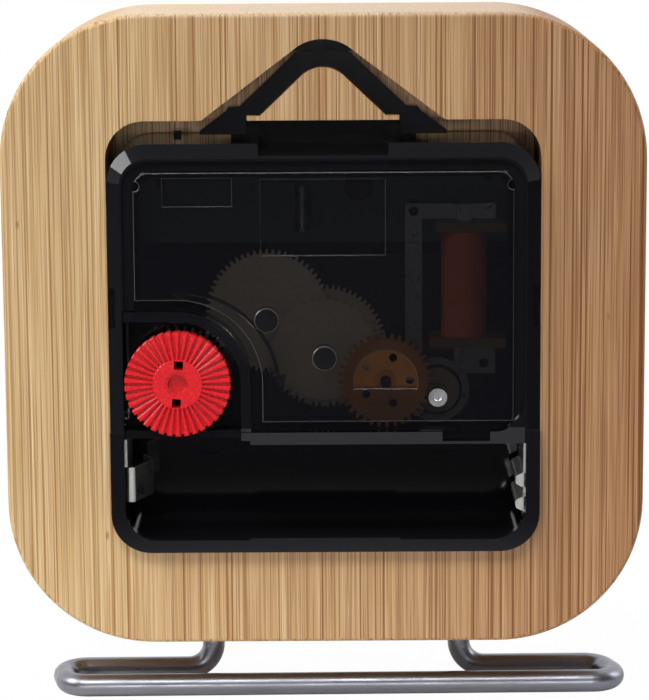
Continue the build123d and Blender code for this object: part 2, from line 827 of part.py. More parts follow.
    # The minute wheel's stud and the setting shaft's bearing
    stud_rear_depth = motion_wheel_rear_depth + pivot_seat / 2
    rod(minute_u, minute_v, centre_arbor_radius, (case_front_wall, stud_rear_depth))
    bearing_rear_depth = minute_wheel_depth - pinion_overlap
    rod(knob_u, knob_v, hub_radius, (case_front_wall, bearing_rear_depth))
    bearing_bore_radius = shaft_pivot_radius + running_clearance
    rod(knob_u, knob_v, bearing_bore_radius, (case_front_wall, bearing_rear_depth), Mode.SUBTRACT)
    rod(0, 0, bushing_hole_radius, (-overrun, case_front_wall + overrun), Mode.SUBTRACT)
    # A small lug on the top wall
    slab(
        (case_lug_u - case_lug_size / 2, case_lug_u + case_lug_size / 2),
        (case_top_v - case_lug_height, case_top_v + case_lug_height),
        (case_lug_depth - case_lug_size / 2, case_lug_depth + case_lug_size / 2),
    )
movement_case.part.label = "movement_case"
export_step(movement_case.part, "parts/movement_case.step")

# Case cover: a plate with the knob well, bearing bosses, a half-round window and plain sunken panels


def window_outline(gap):
    """A disc cut off below by a chord."""
    with Locations((window_centre_u, window_centre_v)):
        Circle(window_radius - gap)
    low_v = window_centre_v - window_radius
    with Locations((window_centre_u, (low_v + window_chord_v) / 2)):
        Rectangle(2 * window_radius, window_chord_v - low_v, mode=Mode.SUBTRACT)


with BuildPart() as case_cover:
    rounded_slab(
        both_sides(cover_half_width), (cover_bottom_v, cover_top_v), cover_corner_radius,
        (cover_front_depth, cover_rear_depth),
    )
    # A moat leaves the plateau: along the bar, and round the well
    moat_depths = (moat_floor_depth, cover_rear_depth + overrun)
    slab(both_sides(cover_width), (cover_bottom_v - overrun, plateau_bottom_v), moat_depths, Mode.SUBTRACT)
    with BuildSketch(back_plane(moat_floor_depth)):
        make_face(well_outline(-cover_width, cover_bottom_v - overrun, well_wall + cover_moat_width).edges())
    extrude(amount=cover_thickness, mode=Mode.SUBTRACT)
    for side in (-1, 1):
        notch_u = side * (cover_half_width - cover_corner_notch_inset[0])
        notch_v = cover_top_v - cover_corner_notch_inset[1]
        rod(notch_u, notch_v, cover_corner_notch_radius, moat_depths, Mode.SUBTRACT)
    fillet(case_cover.faces().sort_by(Axis.Y)[-1].edges(), radius=cover_edge_radius)
    # The well, with a wall up to the level of the case's rim
    with BuildSketch(back_plane(well_floor_front_depth)):
        make_face(well_outline(well_side_u + well_gap, cover_bottom_v, well_wall).edges())
    extrude(amount=case_thickness - well_floor_front_depth)
    with BuildSketch(back_plane(well_floor_depth)):
        make_face(well_outline(well_side_u - overrun, cover_bottom_v - overrun, 0).edges())
    extrude(amount=cover_rear_depth, mode=Mode.SUBTRACT)
    with BuildSketch(back_plane(cover_rear_depth - window_recess_depth)):
        window_outline(0)
    extrude(amount=cover_rear_depth, mode=Mode.SUBTRACT)
    panel_depths = (cover_rear_depth - panel_recess_depth, cover_rear_depth + overrun)
    slab(plain_panel_u, plain_panel_v, panel_depths, Mode.SUBTRACT)
    slab(frame_panel_u, frame_panel_v, panel_depths, Mode.SUBTRACT)
    # Soft rims round the window and the panels
    plateau = case_cover.faces().group_by(Axis.Y)[-1].sort_by(SortBy.AREA)[-1]
    for rim in plateau.inner_wires():
        fillet(rim.edges(), radius=cover_rim_radius)
    boss_depths = (cover_front_depth - cover_boss_length, cover_front_depth)
    bore_depths = (cover_front_depth - cover_boss_length, pivot_rear_depth + pivot_clearance)
    pivot_bore_radius = pivot_radius + pivot_clearance
    for boss_u, boss_v in ((third_u, third_v), (fifth_u, fifth_v), (0, 0), (rotor_u, rotor_v)):
        rod(boss_u, boss_v, cover_boss_radius + pivot_radius, boss_depths)
        rod(boss_u, boss_v, pivot_bore_radius, bore_depths, Mode.SUBTRACT)
    bush_hole_radius = rotor_bearing_radius + fit_clearance
    bush_depths = (cover_front_depth - cover_boss_length, cover_rear_depth + overrun)
    rod(rotor_u, rotor_v, bush_hole_radius, bush_depths, Mode.SUBTRACT)
    floor_depths = (well_floor_front_depth - overrun, well_floor_depth + overrun)
    rod(knob_u, knob_v, shaft_radius + running_clearance, floor_depths, Mode.SUBTRACT)
    # A sunken arrow round the knob, with a head at each end
    arrow_centre = back_plane(cover_rear_depth - arrow_line_depth, arrow_centre_u, arrow_centre_v)
    with BuildSketch(arrow_centre):
        with BuildLine():
            CenterArc((0, 0), arrow_radius, arrow_start_degrees, arrow_end_degrees - arrow_start_degrees)
        trace(line_width=arrow_line_width)
        for end_degrees, turn in ((arrow_start_degrees, -1), (arrow_end_degrees, 1)):
            with PolarLocations(arrow_radius, 1, start_angle=end_degrees):
                with Locations((0, turn * arrow_head_length / 2)):
                    Triangle(
                        a=arrow_head_width, b=hypot(arrow_head_width / 2, arrow_head_length),
                        c=hypot(arrow_head_width / 2, arrow_head_length),
                        rotation=0 if turn > 0 else 180,
                        align=(Align.CENTER, Align.CENTER),
                    )
    extrude(amount=cover_thickness, mode=Mode.SUBTRACT)
    # Round buttons with soft edges over the pivots
    for button_u, button_v in ((third_u, third_v), (0, 0)):
        button_depths = (cover_rear_depth - arrow_line_depth, cover_rear_depth + cover_button_height)
        rod(button_u, button_v, cover_button_radius, button_depths)
    button_tops = case_cover.faces().group_by(Axis.Y)[-1]
    chamfer(button_tops.edges(), length=cover_button_bevel)
case_cover.part.label = "case_cover"
export_step(case_cover.part, "parts/case_cover.step")

with BuildPart() as rotor_bearing:
    rod(rotor_u, rotor_v, rotor_bearing_radius, (boss_depths[0], cover_rear_depth))
    rod(rotor_u, rotor_v, pivot_bore_radius, bore_depths, Mode.SUBTRACT)
    recess_depths = (cover_rear_depth - rotor_bearing_recess, cover_rear_depth)
    rod(rotor_u, rotor_v, rotor_hub_radius, recess_depths, Mode.SUBTRACT)
rotor_bearing.part.label = "rotor_bearing"
export_step(rotor_bearing.part, "parts/rotor_bearing.step")

# Hanger: an arch with feet, two risers beside the case's top, and a plate under the case

hanger_rear_depth = block_back_depth - hanger_rear_below_face
hanger_front_depth = hanger_rear_depth - hanger_thickness
riser_top_v = pocket_top_v - hanger_pocket_gap

with BuildPart() as hanger:
    foot_inner = hanger_foot_inner_half_width
    with BuildSketch(back_plane(hanger_front_depth)):
        for side in (1, -1):
            with BuildLine():
                Polyline(
                    (0, hanger_top_v),
                    (side * hanger_arm_top_half_width, hanger_top_v),
                    (side * hanger_arm_foot[0], hanger_arm_foot[1]),
                    (side * hanger_foot_shoulder[0], hanger_foot_shoulder[1]),
                    (side * hanger_foot_notch[0], hanger_foot_notch[1]),
                    (side * hanger_foot_tip[0], hanger_foot_tip[1]),
                    (side * hanger_foot_tip[0], hanger_foot_bottom_v),
                    (side * foot_inner, hanger_foot_bottom_v),
                    (0, hanger_foot_bottom_v),
                    close=True,
                )
            make_face()
        island = island_outline(hanger_island_gap, hanger_foot_bottom_v - overrun)
        make_face(island.edges(), mode=Mode.SUBTRACT)
    extrude(amount=hanger_thickness)
    # A lower cap that fills the groove above the arch
    with BuildSketch(back_plane(hanger_front_depth)):
        make_face(groove_outline(hanger_groove_gap).edges())
        with Locations((0, (pocket_top_v + hanger_top_v) / 2 - overrun)):
            Rectangle(
                4 * groove_foot_half_width, hanger_top_v - pocket_top_v + 2 * overrun, mode=Mode.SUBTRACT
            )
    extrude(amount=hanger_thickness - hanger_cap_recess)
    for side in (-1, 1):
        riser_u = sorted((side * foot_inner, side * hanger_riser_half_width))
        slab(riser_u, (hanger_foot_bottom_v, riser_top_v), (-hanger_plate_thickness, hanger_front_depth))
    plate_depths = (-hanger_plate_thickness, 0)
    slab(both_sides(hanger_riser_half_width), (hanger_shoulder_v, riser_top_v), plate_depths)
    slab(both_sides(hanger_plate_half_width), (hanger_plate_bottom_v, hanger_shoulder_v), plate_depths)
    hole_depths = (-hanger_plate_thickness - overrun, overrun)
    rod(0, 0, bushing_hole_radius, hole_depths, Mode.SUBTRACT)
hanger.part.label = "hanger"
export_step(hanger.part, "parts/hanger.step")

# Setting knob with its shaft, and the setting wheel on it

knob_face_depth = cover_rear_depth - knob_rib_depth
shaft_front_depth = case_front_wall + pivot_clearance
setting_hub_rear_depth = motion_wheel_rear_depth + setting_hub_height

with BuildPart() as setting_knob:
    rod(knob_u, knob_v, knob_radius, (knob_front_depth, cover_rear_depth))
    front_rim = setting_knob.edges().filter_by(GeomType.CIRCLE).sort_by(Axis.Y)[0]
    chamfer(front_rim, length=knob_edge_bevel)
    # Notches between the ribs, round the edge
    with BuildSketch(back_plane(knob_front_depth, knob_u, knob_v)):
        with PolarLocations(knob_radius, knob_rib_count):
            Circle(knob_rib_notch_radius)
    extrude(amount=knob_thickness, mode=Mode.SUBTRACT)
    rib_pitch = 2 * pi / knob_rib_count
    half_groove = (1 - knob_rib_share) * rib_pitch / 2
    groove_end_radius = knob_radius + overrun
    with BuildSketch(back_plane(knob_face_depth, knob_u, knob_v)):
        for rib in range(knob_rib_count):
            low_angle = rib * rib_pitch - half_groove
            high_angle = rib * rib_pitch + half_groove
            with BuildLine():
                Polyline(
                    (knob_hub_radius * cos(low_angle), knob_hub_radius * sin(low_angle)),
                    (groove_end_radius * cos(low_angle), groove_end_radius * sin(low_angle)),
                    (groove_end_radius * cos(high_angle), groove_end_radius * sin(high_angle)),
                    (knob_hub_radius * cos(high_angle), knob_hub_radius * sin(high_angle)),
                    close=True,
                )
            make_face()
    extrude(amount=knob_rib_depth + overrun, mode=Mode.SUBTRACT)
    ribbed_face = setting_knob.faces().sort_by(Axis.Y)[-1]
    chamfer(ribbed_face.edges(), length=knob_rib_edge_bevel)
    for radius, depth in (
        (knob_recess_radius, knob_recess_depth),
        (knob_recess_rim_radius, knob_recess_rim_depth),
    ):
        rod(knob_u, knob_v, radius, (cover_rear_depth - depth, cover_rear_depth), Mode.SUBTRACT)
    with BuildSketch(back_plane(knob_front_depth, knob_u, knob_v)):
        with PolarLocations(knob_slot_offset, 2, start_angle=90 - knob_slot_turn_degrees):
            Rectangle(knob_slot_size, knob_slot_size)
    extrude(amount=knob_thickness, mode=Mode.SUBTRACT)
    rod(knob_u, knob_v, shaft_radius, (setting_hub_rear_depth, knob_front_depth))
    rod(knob_u, knob_v, shaft_pivot_radius, (shaft_front_depth, setting_hub_rear_depth))
setting_knob.part.label = "setting_knob"
export_step(setting_knob.part, "parts/setting_knob.step")

with BuildPart() as setting_wheel:
    wheel_depths = (minute_wheel_depth, motion_wheel_rear_depth)
    toothed_disc(knob_u, knob_v, wheel_depths, setting_teeth, setting_module, setting_phase, wheel_shares)
    rod(knob_u, knob_v, hub_radius + hub_rim, (motion_wheel_rear_depth, setting_hub_rear_depth))
    wheel_holes(knob_u, knob_v, wheel_depths)
    bore_radius = shaft_pivot_radius + pivot_clearance
    rod(knob_u, knob_v, bore_radius, (minute_wheel_depth, setting_hub_rear_depth), Mode.SUBTRACT)
setting_wheel.part.label = "setting_wheel"
export_step(setting_wheel.part, "parts/setting_wheel.step")

# Motion work under the bridge: cannon pinion, minute wheel and hour wheel

cannon_front_depth = minute_hand_rear_depth - hand_thickness - pipe_stand_out
cannon_leaf_depths = (minute_wheel_depth - pinion_overlap, motion_wheel_rear_depth + pinion_overlap)
centre_wheel_rear_depth = centre_wheel_depth + wheel_thickness
centre_hub_depths = (centre_wheel_depth - pinion_overlap, centre_wheel_rear_depth + cannon_shoulder)

with BuildPart() as cannon_pinion:
    toothed_disc(0, 0, cannon_leaf_depths, cannon_leaves, setting_module, 0, leaf_shares)
    rod(0, 0, cannon_pipe_radius, (cannon_front_depth, cannon_leaf_depths[0]))
    rod(0, 0, cannon_stem_radius, (cannon_leaf_depths[1], centre_hub_depths[1]))
    cannon_bore_depths = (cannon_front_depth - overrun, centre_hub_depths[1] + overrun)
    rod(0, 0, cannon_bore_radius, cannon_bore_depths, Mode.SUBTRACT)
cannon_pinion.part.label = "cannon_pinion"
export_step(cannon_pinion.part, "parts/cannon_pinion.step")

with BuildPart() as minute_wheel:
    wheel_depths = (minute_wheel_depth, motion_wheel_rear_depth)
    leaf_depths = (hour_wheel_depth - pinion_overlap / 2, minute_wheel_depth)
    toothed_disc(minute_u, minute_v, wheel_depths, minute_teeth, setting_module, minute_phase, wheel_shares)
    toothed_disc(minute_u, minute_v, leaf_depths, minute_leaves, hour_module, minute_phase, leaf_shares)
    wheel_holes(minute_u, minute_v, wheel_depths)
    stud_bore_radius = centre_arbor_radius + running_clearance
    rod(minute_u, minute_v, stud_bore_radius, (leaf_depths[0], wheel_depths[1]), Mode.SUBTRACT)
minute_wheel.part.label = "minute_wheel"
export_step(minute_wheel.part, "parts/minute_wheel.step")

hour_pipe_front_depth = hour_hand_rear_depth - hand_thickness - pipe_stand_out

with BuildPart() as hour_wheel:
    wheel_depths = (hour_wheel_depth, hour_wheel_depth + motion_wheel_thickness)
    toothed_disc(0, 0, wheel_depths, hour_teeth, hour_module, hour_phase, wheel_shares)
    rod(0, 0, hour_pipe_radius, (hour_pipe_front_depth, wheel_depths[0]))
    rod(0, 0, hour_bore_radius, (hour_pipe_front_depth - overrun, wheel_depths[1] + overrun), Mode.SUBTRACT)
hour_wheel.part.label = "hour_wheel"
export_step(hour_wheel.part, "parts/hour_wheel.step")

# Going train between the bridge and the cover


arbor_rear_depth = cover_front_depth - cover_boss_length - pivot_clearance


def arbor(u, v):
    """A wheel's arbor, with a thin pivot at each end."""
    rod(u, v, arbor_radius, (bridge_rear_depth + pivot_clearance, arbor_rear_depth))
    rod(u, v, pivot_radius, (pivot_front_depth, pivot_rear_depth))


with BuildPart() as centre_wheel:
    wheel_depths = (centre_wheel_depth, centre_wheel_rear_depth)
    toothed_disc(0, 0, wheel_depths, centre_teeth, centre_module, centre_phase, wheel_shares)
    rod(0, 0, cannon_stem_radius + hub_rim, centre_hub_depths)
    rod(0, 0, cannon_stem_radius + running_clearance, centre_hub_depths, Mode.SUBTRACT)
centre_wheel.part.label = "centre_wheel"
export_step(centre_wheel.part, "parts/centre_wheel.step")

third_wheel_rear_depth = third_wheel_depth + wheel_thickness

with BuildPart() as third_wheel:
    arbor(third_u, third_v)
    wheel_depths = (third_wheel_depth, third_wheel_rear_depth)
    leaf_depths = (centre_wheel_depth - pinion_overlap, third_wheel_depth)
    toothed_disc(third_u, third_v, wheel_depths, third_teeth, third_module, third_phase, wheel_shares)
    toothed_disc(third_u, third_v, leaf_depths, third_leaves, centre_module, third_phase, leaf_shares)
third_wheel.part.label = "third_wheel"
export_step(third_wheel.part, "parts/third_wheel.step")

with BuildPart() as seconds_wheel:
    wheel_depths = (seconds_wheel_depth, seconds_wheel_depth + wheel_thickness)
    leaf_depths = (third_wheel_depth - pinion_overlap, seconds_wheel_depth)
    toothed_disc(0, 0, wheel_depths, seconds_teeth, seconds_module, 0, wheel_shares)
    toothed_disc(0, 0, leaf_depths, seconds_leaves, third_module, 0, leaf_shares)
    rod(0, 0, centre_arbor_radius, (second_arbor_front_depth, arbor_rear_depth))
    rod(0, 0, pivot_radius, (seconds_wheel_depth, pivot_rear_depth))
seconds_wheel.part.label = "seconds_wheel"
export_step(seconds_wheel.part, "parts/seconds_wheel.step")

with BuildPart() as fifth_wheel:
    arbor(fifth_u, fifth_v)
    wheel_depths = (fifth_wheel_depth, fifth_wheel_depth + wheel_thickness)
    seconds_rim_depth = seconds_wheel_depth + wheel_thickness
    leaf_depths = (seconds_wheel_depth - pinion_overlap, seconds_rim_depth + pinion_overlap)
    toothed_disc(fifth_u, fifth_v, wheel_depths, fifth_teeth, fifth_module, fifth_phase, wheel_shares)
    toothed_disc(fifth_u, fifth_v, leaf_depths, fifth_leaves, seconds_module, fifth_phase, leaf_shares)
    rod(fifth_u, fifth_v, hub_radius, (fifth_wheel_depth - hub_rim, fifth_wheel_depth))
    wheel_holes(fifth_u, fifth_v, wheel_depths)
fifth_wheel.part.label = "fifth_wheel"
export_step(fifth_wheel.part, "parts/fifth_wheel.step")

with BuildPart() as rotor:
    magnet_rear_depth = magnet_depth + magnet_thickness
    fifth_rim_depth = fifth_wheel_depth + wheel_thickness
    leaf_depths = (fifth_wheel_depth - pinion_overlap, fifth_rim_depth + pinion_overlap / 2)
    rod(rotor_u, rotor_v, magnet_radius, (magnet_depth, magnet_rear_depth))
    rod(rotor_u, rotor_v, rotor_hub_radius, (magnet_rear_depth, leaf_depths[0]))
    toothed_disc(rotor_u, rotor_v, leaf_depths, rotor_leaves, fifth_module, rotor_phase, leaf_shares)
    rod(rotor_u, rotor_v, pivot_radius, (rotor_boss_depth - pivot_seat, pivot_rear_depth))
rotor.part.label = "rotor"
export_step(rotor.part, "parts/rotor.step")

with BuildPart() as train_bridge:
    bridge_depths = (bridge_depth, bridge_rear_depth)
    rounded_slab(bridge_u, bridge_v, bridge_corner_radius, bridge_depths)
    rod(rotor_u, rotor_v, rotor_boss_radius, (bridge_rear_depth, rotor_boss_depth))
    bore_depths = (rotor_boss_depth - pivot_seat - pivot_clearance, rotor_boss_depth)
    rod(rotor_u, rotor_v, pivot_bore_radius, bore_depths, Mode.SUBTRACT)
    pivot_hole_depths = (pivot_front_depth - pivot_clearance, bridge_rear_depth)
    for arbor_u, arbor_v in ((third_u, third_v), (fifth_u, fifth_v)):
        rod(arbor_u, arbor_v, pivot_bore_radius, pivot_hole_depths, Mode.SUBTRACT)
    rod(0, 0, cannon_stem_radius + running_clearance, bridge_depths, Mode.SUBTRACT)
    for post_u, post_v in bridge_posts:
        rod(post_u, post_v, peg_radius + peg_clearance, bridge_depths, Mode.SUBTRACT)
train_bridge.part.label = "train_bridge"
export_step(train_bridge.part, "parts/train_bridge.step")

# Motor: stator plate, core, bobbin and winding

core_v = (stator_foot_v[1] - core_end_overlap, stator_top_v[0] + core_end_overlap)
ring_inner_radius = magnet_radius + stator_air_gap

with BuildPart() as stator:
    with BuildSketch(back_plane(stator_depth)):
        with Locations((rotor_u, rotor_v)):
            Circle(ring_inner_radius + stator_ring_width)
        for leg_u, leg_v in (
            (stator_leg_u, (rotor_v, stator_top_v[1])),
            ((stator_leg_u[0], stator_foot_u[1]), stator_top_v),
            (stator_foot_u, stator_foot_v),
        ):
            with Locations((sum(leg_u) / 2, sum(leg_v) / 2)):
                Rectangle(leg_u[1] - leg_u[0], leg_v[1] - leg_v[0])
        with Locations((rotor_u, rotor_v)):
            Circle(ring_inner_radius, mode=Mode.SUBTRACT)
        with Locations(*stator_posts):
            Circle(peg_radius + peg_clearance, mode=Mode.SUBTRACT)
    extrude(amount=stator_thickness)
stator.part.label = "stator"
export_step(stator.part, "parts/stator.step")

with BuildPart() as coil_core:
    core_u = (coil_u - core_width / 2, coil_u + core_width / 2)
    slab(core_u, core_v, (core_depth, core_depth + core_thickness))
coil_core.part.label = "coil_core"
export_step(coil_core.part, "parts/coil_core.step")

coil_plane = Plane(
    origin=(-coil_u, coil_middle_depth - origin_depth, axis_height + coil_bottom_v),
    x_dir=(-1, 0, 0), z_dir=(0, 0, 1),
)
coil_length = coil_top_v - coil_bottom_v

with BuildPart() as coil_bobbin:
    with BuildSketch(coil_plane):
        Circle(bobbin_tube_radius)
    extrude(amount=coil_length)
    half_flange = bobbin_flange_depth / 2
    flange_depths = (coil_middle_depth - half_flange, coil_middle_depth + half_flange)
    lower_flange_v = (coil_bottom_v - bobbin_lower_flange_thickness, coil_bottom_v)
    upper_flange_v = (coil_top_v, coil_top_v + bobbin_upper_flange_thickness)
    slab(bobbin_lower_flange_u, lower_flange_v, flange_depths)
    slab(bobbin_upper_flange_u, upper_flange_v, flange_depths)
    slab(
        (core_u[0] - core_gap, core_u[1] + core_gap), core_v,
        (core_depth - core_gap, core_depth + core_thickness + core_gap), Mode.SUBTRACT,
    )
coil_bobbin.part.label = "coil_bobbin"
export_step(coil_bobbin.part, "parts/coil_bobbin.step")

with BuildPart() as coil_winding:
    with BuildSketch(coil_plane.offset(winding_gap)):
        Circle(coil_radius)
        Circle(bobbin_tube_radius + winding_gap, mode=Mode.SUBTRACT)
    extrude(amount=coil_length - 2 * winding_gap)
coil_winding.part.label = "coil_winding"
export_step(coil_winding.part, "parts/coil_winding.step")

# Circuit board with its timing chip and crystal can

board_depths = (board_depth, board_depth + board_thickness)

with BuildPart() as circuit_board:
    rounded_slab(both_sides(contact_inner_u), board_v, board_corner_radius, board_depths)
    for post_u, post_v in board_posts:
        rod(post_u, post_v, peg_radius + peg_clearance, board_depths, Mode.SUBTRACT)
    post_clear_radius = post_radius + peg_clearance
    rod(stator_posts[0][0], stator_posts[0][1], post_clear_radius, board_depths, Mode.SUBTRACT)
circuit_board.part.label = "circuit_board"
export_step(circuit_board.part, "parts/circuit_board.step")

with BuildPart() as timing_chip:
    rod(chip_u, chip_v, chip_radius, (board_depths[1], board_depths[1] + chip_height))
    chip_top = timing_chip.faces().sort_by(Axis.Y)[-1]
    fillet(chip_top.edges(), radius=chip_height / 2)
timing_chip.part.label = "timing_chip"
export_step(timing_chip.part, "parts/timing_chip.step")

with BuildPart() as crystal_can:
    crystal_plane = Plane(
        origin=(-crystal_u, board_depths[1] + crystal_radius - origin_depth, axis_height + crystal_start_v),
        x_dir=(-1, 0, 0), z_dir=(0, 0, 1),
    )
    with BuildSketch(crystal_plane):
        Circle(crystal_radius)
    extrude(amount=crystal_length)
crystal_can.part.label = "crystal_can"
export_step(crystal_can.part, "parts/crystal_can.step")

# Battery contacts, each with a tail up to the circuit board

strip_top_v = bay_top_v - contact_strip_gap_below_bar
tail_v = (strip_top_v, board_v[0] + tail_board_overlap)
tail_depths = (tail_depth, tail_depth + contact_tail_width)


def leaf_outline():
    """The leaf in side view: folded in at the mouth of the bay, bowed, and folded back."""
    wall_u = -half_bay
    rear = negative_leaf_rear_depth
    return (
        (wall_u, contact_start_depth),
        (wall_u, rear),
        (wall_u + negative_leaf_shoulder, rear),
        (wall_u + negative_leaf_reach, negative_leaf_middle_depth),
        (wall_u + negative_leaf_end_reach, negative_leaf_end_depth),
    )


with BuildPart() as negative_contact:
    slab((-half_bay, -contact_inner_u), tail_v, tail_depths)
    leaf_bottom_v = negative_leaf_top_v - negative_leaf_height
    side_plane = Plane(
        origin=(0, -origin_depth, axis_height + leaf_bottom_v), x_dir=(-1, 0, 0), z_dir=(0, 0, 1)
    )
    with BuildSketch(side_plane):
        with BuildLine() as leaf_middle:
            leaf_points = [(u + contact_thickness / 2, -depth) for u, depth in leaf_outline()]
            FilletPolyline(*leaf_points, radius=negative_leaf_bend_radius)
        trace(leaf_middle.edges(), line_width=contact_thickness)
    extrude(amount=negative_leaf_height)
    strip_rear_depth = negative_leaf_rear_depth - negative_leaf_bend_radius
    slab((-half_bay, -contact_inner_u), (leaf_bottom_v, strip_top_v), (contact_start_depth, strip_rear_depth))
negative_contact.part.label = "negative_contact"
export_step(negative_contact.part, "parts/negative_contact.step")


strip_middle_u = half_bay - contact_thickness / 2


def bump_outline(bump_v):
    """A bump's four corners as seen from the back, from its upper root to its lower one."""
    peak_u = half_bay - positive_bump_reach + contact_thickness / 2
    return [
        (strip_middle_u, bump_v + positive_bump_root_half_height),
        (peak_u, bump_v + positive_bump_top_half_height),
        (peak_u, bump_v - positive_bump_top_half_height),
        (strip_middle_u, bump_v - positive_bump_root_half_height),
    ]


def strip_outline():
    """The positive strip as seen from the back: down along the bay's end wall, out and in at each bump."""
    points = [(strip_middle_u, strip_top_v)]
    for bump_v in positive_bump_v:
        points.extend(bump_outline(bump_v))
    points.append((strip_middle_u, positive_strip_bottom_v))
    return points


with BuildPart() as positive_contact:
    slab((contact_inner_u, half_bay), tail_v, tail_depths)
    with BuildSketch(back_plane(contact_start_depth)):
        with BuildLine() as strip_middle:
            FilletPolyline(*strip_outline(), radius=positive_bump_bend_radius)
        trace(strip_middle.edges(), line_width=contact_thickness)
    extrude(amount=positive_strip_rear_depth - contact_start_depth)
    for end_depth in (contact_start_depth, positive_strip_rear_depth - contact_thickness):
        with BuildSketch(back_plane(end_depth)):
            for bump_v in positive_bump_v:
                with BuildLine():
                    Polyline(*bump_outline(bump_v), close=True)
                make_face()
        extrude(amount=contact_thickness)
positive_contact.part.label = "positive_contact"
export_step(positive_contact.part, "parts/positive_contact.step")

# Centre fixing: threaded bushing, washers and nut

with BuildPart() as threaded_bushing:
    flange_rear_depth = case_front_wall + bushing_flange_thickness
    rod(0, 0, bushing_flange_radius, (case_front_wall, flange_rear_depth))
    rod(0, 0, bushing_radius, (bushing_front_depth, case_front_wall))
    bushing_bore_depths = (bushing_front_depth - overrun, flange_rear_depth + overrun)
    rod(0, 0, bushing_bore_radius, bushing_bore_depths, Mode.SUBTRACT)
threaded_bushing.part.label = "threaded_bushing"
export_step(threaded_bushing.part, "parts/threaded_bushing.step")

with BuildPart() as rubber_washer:
    washer_depths = (pocket_floor_depth, pocket_floor_depth + rubber_washer_thickness)
    rod(0, 0, rubber_washer_radius, washer_depths)
    rod(0, 0, bushing_hole_radius, washer_depths, Mode.SUBTRACT)
rubber_washer.part.label = "rubber_washer"
export_step(rubber_washer.part, "parts/rubber_washer.step")

with BuildPart() as brass_washer:
    rod(0, 0, brass_washer_radius, (washer_front_depth, block_front_depth))
    rod(0, 0, bushing_hole_radius, (washer_front_depth, block_front_depth), Mode.SUBTRACT)
brass_washer.part.label = "brass_washer"
export_step(brass_washer.part, "parts/brass_washer.step")

with BuildPart() as mounting_nut:
    with BuildSketch(back_plane(nut_front_depth)):
        RegularPolygon(nut_across_flats / 2, 6, major_radius=False)
        Circle(bushing_hole_radius, mode=Mode.SUBTRACT)
    extrude(amount=nut_thickness)
    nut_front = mounting_nut.faces().sort_by(Axis.Y)[0]
    chamfer(nut_front.outer_wire().edges(), length=nut_edge_bevel)
mounting_nut.part.label = "mounting_nut"
export_step(mounting_nut.part, "parts/mounting_nut.step")

# Hands and hour marks on the front


def dial_angle(share_of_turn):
    """The polar angle, as seen from the back, of a place on the dial."""
    return pi / 2 + 2 * pi * share_of_turn


def along(angle, distance, side=0):
    """A point at a distance along an angle and a distance to its side."""
    return (distance * cos(angle) - side * sin(angle), distance * sin(angle) + side * cos(angle))


def clock_hand(share_of_turn, length, tail, width, hub_radius_here, bore_radius_here, depth):
    """A flat tapering hand with a round hub."""
    angle = dial_angle(share_of_turn)
    tip_half = hand_tip_share * width / 2
    with BuildSketch(back_plane(depth)) as section:
        with BuildLine():
            Polyline(
                along(angle, -tail, width / 2),
                along(angle, length, tip_half),
                along(angle, length, -tip_half),
                along(angle, -tail, -width / 2),
                close=True,
            )
        make_face()
        Circle(hub_radius_here)
        Circle(bore_radius_here, mode=Mode.SUBTRACT)
    extrude(section.sketch, amount=hand_thickness)


rest_seconds_share = rest_second / 60
rest_minutes_share = rest_minute / 60 + rest_seconds_share / 60
rest_hours_share = rest_hour / 12 + rest_minutes_share / 12

with BuildPart() as hour_hand:
    clock_hand(
        rest_hours_share, hour_hand_length, 0, hour_hand_width, hour_pipe_radius + hand_hub_rim,
        hour_pipe_radius + pivot_clearance, hour_hand_rear_depth - hand_thickness,
    )
hour_hand.part.label = "hour_hand"
export_step(hour_hand.part, "parts/hour_hand.step")

with BuildPart() as minute_hand:
    clock_hand(
        rest_minutes_share, minute_hand_length, 0, minute_hand_width, cannon_pipe_radius + hand_hub_rim,
        cannon_pipe_radius + pivot_clearance, minute_hand_rear_depth - hand_thickness,
    )
minute_hand.part.label = "minute_hand"
export_step(minute_hand.part, "parts/minute_hand.step")

with BuildPart() as second_hand:
    clock_hand(
        rest_seconds_share, second_hand_length, second_tail_length, second_hand_width,
        second_cap_radius, centre_arbor_radius + pivot_clearance, second_arbor_front_depth,
    )
    rod(0, 0, second_cap_radius, (cap_front_depth, second_arbor_front_depth))
second_hand.part.label = "second_hand"
export_step(second_hand.part, "parts/second_hand.step")

with BuildPart() as hour_marks:
    with BuildSketch(back_plane(block_front_depth - mark_thickness)):
        for mark in range(hour_mark_count):
            angle = dial_angle(mark / hour_mark_count)
            length = mark_length if mark % quarter_mark_step else quarter_mark_length
            inner = mark_circle_radius - length / 2
            outer = mark_circle_radius + length / 2
            with BuildLine():
                Polyline(
                    along(angle, inner, mark_width / 2),
                    along(angle, outer, mark_width / 2),
                    along(angle, outer, -mark_width / 2),
                    along(angle, inner, -mark_width / 2),
                    close=True,
                )
            make_face()
    extrude(amount=mark_thickness)
hour_marks.part.label = "hour_marks"
export_step(hour_marks.part, "parts/hour_marks.step")
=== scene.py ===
from math import cos, radians, sin

import bpy
from mathutils import Matrix, Vector


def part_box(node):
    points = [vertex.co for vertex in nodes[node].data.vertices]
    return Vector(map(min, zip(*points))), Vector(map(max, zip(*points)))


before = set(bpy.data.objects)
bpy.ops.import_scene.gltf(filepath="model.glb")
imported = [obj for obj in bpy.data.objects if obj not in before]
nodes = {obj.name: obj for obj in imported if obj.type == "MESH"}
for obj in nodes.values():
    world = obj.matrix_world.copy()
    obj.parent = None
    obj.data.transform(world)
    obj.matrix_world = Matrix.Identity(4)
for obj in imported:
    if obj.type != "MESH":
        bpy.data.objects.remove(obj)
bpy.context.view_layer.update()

# A small desk clock in a bamboo block, seen from the back: its quartz movement sits in a pocket.
# Lengths are metres in the model's own frame, and millimetres of that frame inside the shaders.

MM = 0.001

